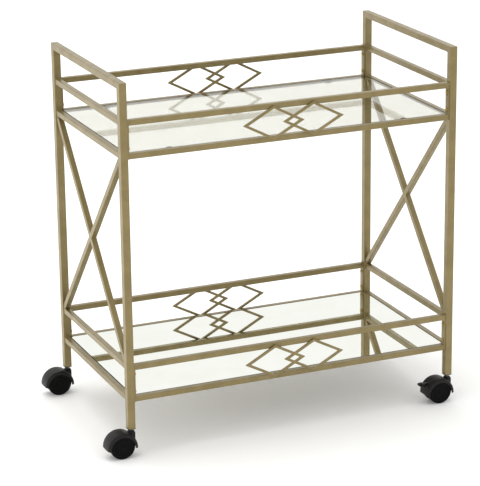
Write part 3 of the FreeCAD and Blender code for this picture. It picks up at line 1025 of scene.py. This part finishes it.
@dataclass
class Shelves:
    """Glass and mirror sheets with the tabs and bumpers that carry them.

    Attributes:
        finishes: The cart's materials.
        corner_mm: Radius of a sheet's corners.
        corner_steps: Faces round a corner.
        arris_mm: Width of the ground arris along a sheet's edges.
        bend: Share of a rounding that its middle point lies in from the edge.
        lip: Share of a bumper's height that its rim takes to round over.
        bumper_sides: Faces round a bumper.
        tab_ease_mm: Rounding of the tabs.
    """

    finishes: Palette
    corner_mm: float = 8.0
    corner_steps: int = 12
    arris_mm: float = 1.5
    bend: float = 0.3
    lip: float = 0.35
    bumper_sides: int = 32
    tab_ease_mm: float = 0.4

    def sheet(self, node: str, name: str) -> Object:
        """Sheet with rounded corners and a ground edge.

        Args:
            node: The CAD node that it stands for.
            name: Name of the piece.

        Returns:
            The piece, with material number 0 above, 1 round its edge and 2 below.
        """
        low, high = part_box(node)
        middle, half = (low + high) / 2, (high - low) / 2
        arris = self.arris_mm * MM
        bent = arris * self.bend
        rings = []
        for inset, z in (
            (arris, low.z), (bent, low.z + bent), (0, low.z + arris),
            (0, high.z - arris), (bent, high.z - bent), (arris, high.z),
        ):
            corner = self.corner_mm * MM - inset
            outline = rounded_outline(half.x - inset, half.y - inset, corner, self.corner_steps)
            rings.append([Vector((middle.x + p.x, middle.y + p.y, z)) for p in outline])
        shell = skinned(rings)
        level = math.cos(math.radians(LEVEL_ANGLE))
        for face in shell.faces:
            if abs(face.normal.z) < level:
                face.material_index = 1
            else:
                face.material_index = 0 if face.normal.z > 0 else 2
        piece = smooth(new_piece(name, shell))
        for face in piece.data.polygons:
            face.use_smooth = face.material_index == 1
        return piece

    def bumper(self, radius_mm: float, height_mm: float) -> Object:
        """Low soft disc, rounded at its rims, from the origin up.

        Args:
            radius_mm: Its radius.
            height_mm: Its height.

        Returns:
            The disc.
        """
        lip = height_mm * self.lip
        bent = lip * self.bend
        profile = [(0, 0), (radius_mm - lip, 0), (radius_mm - bent, bent), (radius_mm, lip)]
        profile += [(radius_mm, height_mm - lip), (radius_mm - bent, height_mm - bent)]
        profile += [(radius_mm - lip, height_mm), (0, height_mm)]
        return new_piece("bumper_template", lathe(profile, self.bumper_sides))

    def build(self) -> None:
        """Build both sheets, the tabs and the bumpers."""
        glass = self.sheet("glass_shelf", "glass_sheet")
        assign(glass, self.finishes.glass, self.finishes.glass_edge, self.finishes.glass)
        deliver(glass, "frame", "clear_glass", "glass_shelf")
        mirror = self.sheet("mirror_shelf", "mirror_sheet")
        assign(mirror, self.finishes.silver, self.finishes.glass_edge, self.finishes.backing)
        deliver(mirror, "frame", "mirror", "mirror_shelf")
        node, paint = "shelf_tabs", self.finishes.paint
        ease_node(node, "shelf_tabs_eased", self.tab_ease_mm, paint, "frame", "gold_paint")
        boxes = solids_of("shelf_pads")
        places = [placed(Vector(((a.x + b.x) / 2, (a.y + b.y) / 2, a.z))) for a, b in boxes]
        low, high = boxes[0]
        template = self.bumper((high.x - low.x) / 2 / MM, (high.z - low.z) / MM)
        bumpers = Repeats("shelf_bumpers", template, places, self.finishes.pad)
        deliver(bumpers.build(), "frame", "soft_pad", "shelf_pads")


@dataclass
class TwinWheelCaster:
    """One swivel caster: body, two wheels, axle and, where it has one, the foot brake.

    Attributes:
        corner: Where the caster is.
        finishes: The cart's materials.
        body_ease_mm: Rounding of the body's edges.
        wheel_sides: Faces round a wheel.
        bore_mm: Radius of the axle's bore, and how far its end is under the outer face.
        back_mm: Radius and depth of the points of the inner face, out from the bore.
        shoulder_mm: Radius of the tread's shoulders.
        shoulder_steps: Faces round a shoulder.
        tread_mm: Depth of the tread, from the rim in.
        disc_mm: Radius of the points of the outer face, and their depth under it, inwards.
        lever_ease_mm: Rounding of the lever's edges.
        lever_half_mm: Half of the thickness of the lever's tab.
        droop: Degrees that the lever hangs down at rest.
        ridge_mm: Half-length, half-width and height of a ridge on the lever's tab.
        ridge_taper: Share of its size that a ridge has at its ends.
        ridge_sink_mm: How far a ridge reaches into the tab.
        ridge_steps: Faces over a ridge.
        ridge_reach_mm: Way from the lever's pivot to each ridge.
    """

    corner: Corner
    finishes: Palette
    body_ease_mm: float = 0.4
    wheel_sides: int = 96
    bore_mm: tuple[float, float] = (2.56, 3.0)
    back_mm: Profile = ((8.0, 0), (8.6, 0.5), (19.6, 0.5), (20.2, 0))
    shoulder_mm: float = 3.2
    shoulder_steps: int = 4
    tread_mm: float = 1.3
    disc_mm: Profile = (
        (18.2, 0), (17.6, 0.25), (17.1, 1.0), (13.4, 1.0), (13.0, 0.65), (11.8, 0.65),
        (11.4, 1.0), (5.6, 1.0), (5.0, 0.45), (4.2, 0.15), (0, 0.1),
    )
    lever_ease_mm: float = 0.7
    lever_half_mm: float = 1.7
    droop: float = 3.0
    ridge_mm: tuple[float, float, float] = (5.6, 0.55, 0.5)
    ridge_taper: float = 0.25
    ridge_sink_mm: float = 0.3
    ridge_steps: int = 6
    ridge_reach_mm: tuple[float, ...] = (23.4, 25.6, 27.8, 30.0)

    def wheel_profile(self, rim: float, width: float) -> list[tuple[float, float]]:
        """Points of a wheel from the end of its bore round to the middle of its outer face.

        Args:
            rim: Radius of the wheel, in millimetres.
            width: Width of the wheel.

        Returns:
            Radius and height of each point, up from the inner face.
        """
        bore, cap = self.bore_mm
        shoulder = self.shoulder_mm
        steps = self.shoulder_steps
        bend = [math.radians(QUARTER * step / steps) for step in range(steps + 1)]
        profile = [(0, width - cap), (bore, width - cap), (bore, 0), *self.back_mm]
        profile += [
            (rim - shoulder * (1 - math.sin(a)), shoulder * (1 - math.cos(a))) for a in bend
        ]
        profile.append((rim, width / 2))
        profile += [
            (rim - shoulder * (1 - math.cos(a)), width - shoulder * (1 - math.sin(a))) for a in bend
        ]
        return profile + [(radius, width - depth) for radius, depth in self.disc_mm]

    def wheel(self, side: str) -> None:
        """Build a wheel with round shoulders and a dished disc, on its own body.

        Args:
            side: "front" or "rear", the side of the caster that it is on.
        """
        node = f"caster_{side}_wheel_{self.corner.label}"
        low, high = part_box(node)
        rim, width = (high.z - low.z) / 2 / MM, (high.y - low.y) / MM
        skin = lathe(self.wheel_profile(rim, width), self.wheel_sides)
        piece = new_piece(f"wheel_{side}_{self.corner.label}", skin)
        middle = (low + high) / 2
        outward = 1 if side == "rear" else -1
        inner_y = low.y if outward > 0 else high.y
        turn = Euler((math.radians(-QUARTER * outward), 0, 0))
        piece.data.transform(placed(Vector((middle.x, inner_y, middle.z)), turn))
        for face in piece.data.polygons:
            off = math.hypot(face.center.x - middle.x, face.center.z - middle.z) / MM
            face.material_index = int(off > rim - self.tread_mm)
        assign(smooth(piece), self.finishes.disc, self.finishes.tread)
        deliver(piece, f"{side}_wheel_{self.corner.label}", "wheel_plastic", node)

    def ridge(self) -> Object:
        """Build a rounded ridge along Y on the lever's tab, standing on the origin.

        Returns:
            The ridge.
        """
        long, half, height = (value * MM for value in self.ridge_mm)
        taper, steps = self.ridge_taper, self.ridge_steps
        angles = [math.pi * step / steps for step in range(steps + 1)]
        ends = []
        for y, share in ((-long, taper), (-long + half, 1), (long - half, 1), (long, taper)):
            wide, tall = half * share, height * share
            bow = [Vector((wide * math.cos(a), y, tall * math.sin(a))) for a in angles]
            foot = [Vector((x, y, -self.ridge_sink_mm * MM)) for x in (-wide, wide)]
            ends.append([*bow, *foot])
        return new_piece("ridge_template", skinned(ends))

    def brake(self) -> None:
        """Build the lever, with ridges across its tab, and finish its pin."""
        label, nylon = self.corner.label, self.finishes.nylon
        lever, ease = f"brake_lever_{label}", self.lever_ease_mm
        ease_node(lever, f"foot_lever_{label}", ease, nylon, lever, "black_plastic")
        low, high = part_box(f"brake_pin_{label}")
        pivot = (low + high) / 2
        tilt = Euler((0, math.radians(-self.droop), 0))
        places = []
        for reach in self.ridge_reach_mm:
            local = Vector((-reach * MM, 0, self.lever_half_mm * MM))
            local.rotate(tilt)
            places.append(placed(pivot + local, tilt))
        ridges = Repeats(f"lever_ridges_{label}", self.ridge(), places, nylon)
        deliver(ridges.build(), lever, "black_plastic")
        dress(f"brake_pin_{label}", self.finishes.steel)

    def build(self) -> None:
        """Build the whole caster."""
        label, nylon = self.corner.label, self.finishes.nylon
        node, name, ease = f"caster_body_{label}", f"caster_hood_{label}", self.body_ease_mm
        ease_node(node, name, ease, nylon, f"caster_{label}", "black_plastic")
        dress(f"caster_axle_{label}", self.finishes.steel)
        for side in ("front", "rear"):
            self.wheel(side)
        if self.corner.braked:
            self.brake()


@dataclass
class Feet:
    """Plugs in the feet of the posts, and the steel stems that they hold.

    Attributes:
        finishes: The cart's materials.
        plug_ease_mm: Rounding of the plugs.
        stem_ease_mm: Rounding of the stems.
    """

    finishes: Palette
    plug_ease_mm: float = 0.35
    stem_ease_mm: float = 0.4

    def build(self) -> None:
        """Build the plugs and the stems."""
        for node, ease, material, slot in (
            ("post_plugs", self.plug_ease_mm, self.finishes.plug, "black_plastic"),
            ("caster_stems", self.stem_ease_mm, self.finishes.steel, "steel"),
        ):
            ease_node(node, f"{node}_eased", ease, material, "frame", slot)


# ------------------------ studio


@dataclass(frozen=True)
class Lamp:
    """A square soft lamp that looks at the upper shelf and shows in no reflection.

    Attributes:
        name: Its name.
        at: Where it hangs, in metres.
        size: Length of its side, in metres.
        power: Its power, in watts.
    """

    name: str
    at: tuple[float, float, float]
    size: float
    power: float

    def build(self) -> None:
        """Hang the lamp."""
        data = bpy.data.lights.new(self.name, "AREA")
        data.size = self.size
        data.energy = self.power
        lamp = bpy.data.objects.new(self.name, data)
        bpy.context.scene.collection.objects.link(lamp)
        lamp.location = self.at
        lamp.visible_glossy = False
        lamp.visible_transmission = False
        target = sum(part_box("glass_shelf"), Vector()) / 2
        lamp.rotation_euler = (target - lamp.location).to_track_quat("-Z", "Y").to_euler()


@dataclass
class Studio:
    """Pale floor, soft lights and the camera.

    Attributes:
        floor_m: Half-length of the floor.
        floor_squares: Squares along each side of the floor.
        sky: Strength of the even light from all round.
        lamps: The soft lamps.
        camera_at: Where the camera stands, in metres.
        heading: Degrees that it looks right of +Y.
        tilt: Degrees that it looks down.
        roll: Degrees that it is turned anticlockwise.
        focal_dots: Its focal length, in dots of the image.
        sensor_mm: Width of its sensor.
    """

    floor_m: float = 30.0
    floor_squares: int = 24
    sky: float = 1.0
    lamps: tuple[Lamp, ...] = (
        Lamp("key_top", (-0.3, 0.6, 3.8), 3.2, 54.0),
        Lamp("wash_rear", (0.6, 4.6, 1.2), 3.0, 40.0),
        Lamp("wash_left", (-3.8, -0.4, 0.8), 2.4, 56.0),
    )
    camera_at: tuple[float, float, float] = (-1.6917, -3.9347, 1.6935)
    heading: float = 23.15
    tilt: float = 17.65
    roll: float = -0.68
    focal_dots: float = 2242.0
    sensor_mm: float = 36.0

    def floor(self) -> None:
        """Lay the floor, a flat sheet of paper."""
        shell = bmesh.new()
        squares = self.floor_squares
        bmesh.ops.create_grid(shell, x_segments=squares, y_segments=squares, size=self.floor_m)
        floor = new_piece("studio_floor", shell)
        assign(floor, STUDIO_PAPER.build())

    def sky_light(self) -> None:
        """Even white light from all round."""
        world = bpy.data.worlds.new("studio_air")
        world.use_nodes = True
        world.node_tree.nodes.clear()
        white = linear("#FFFFFF")
        even = add(world.node_tree, "ShaderNodeBackground", {"Color": white, "Strength": self.sky})
        add(world.node_tree, "ShaderNodeOutputWorld", {"Surface": even.outputs[0]})
        bpy.context.scene.world = world

    def camera(self) -> None:
        """Stand the camera and make it the scene's."""
        heading, tilt, roll = (math.radians(a) for a in (self.heading, self.tilt, self.roll))
        level = math.cos(tilt)
        ahead = Vector((math.sin(heading) * level, math.cos(heading) * level, -math.sin(tilt)))
        right = Vector((math.cos(heading), -math.sin(heading), 0))
        up = right.cross(ahead)
        rolled_right = right * math.cos(roll) + up * math.sin(roll)
        rolled_up = up * math.cos(roll) - right * math.sin(roll)
        data = bpy.data.cameras.new("studio_camera")
        data.sensor_width = self.sensor_mm
        data.lens = self.focal_dots * self.sensor_mm / IMAGE_LONG_SIDE
        camera = bpy.data.objects.new("studio_camera", data)
        bpy.context.scene.collection.objects.link(camera)
        turn = Matrix((rolled_right, rolled_up, -ahead)).transposed()
        camera.matrix_world = placed(Vector(self.camera_at), turn)
        bpy.context.scene.camera = camera

    def build(self) -> None:
        """Set up the whole studio."""
        self.floor()
        self.sky_light()
        for lamp in self.lamps:
            lamp.build()
        self.camera()
        bpy.context.scene.view_settings.view_transform = "Standard"


def main() -> None:
    """Build the cart's looks and the studio."""
    logging.basicConfig(level=logging.INFO, format="%(name)s: %(message)s")
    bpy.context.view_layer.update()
    finishes = Palette.build()
    assemblies: list = [kind(finishes) for kind in (TubeFrame, LongPanels, Shelves, Feet)]
    assemblies += [TwinWheelCaster(corner, finishes) for corner in Corner]
    for assembly in assemblies:
        assembly.build()
        LOG.info("%s is built", type(assembly).__name__)
    Studio().build()


if __name__ == "__main__":
    main()
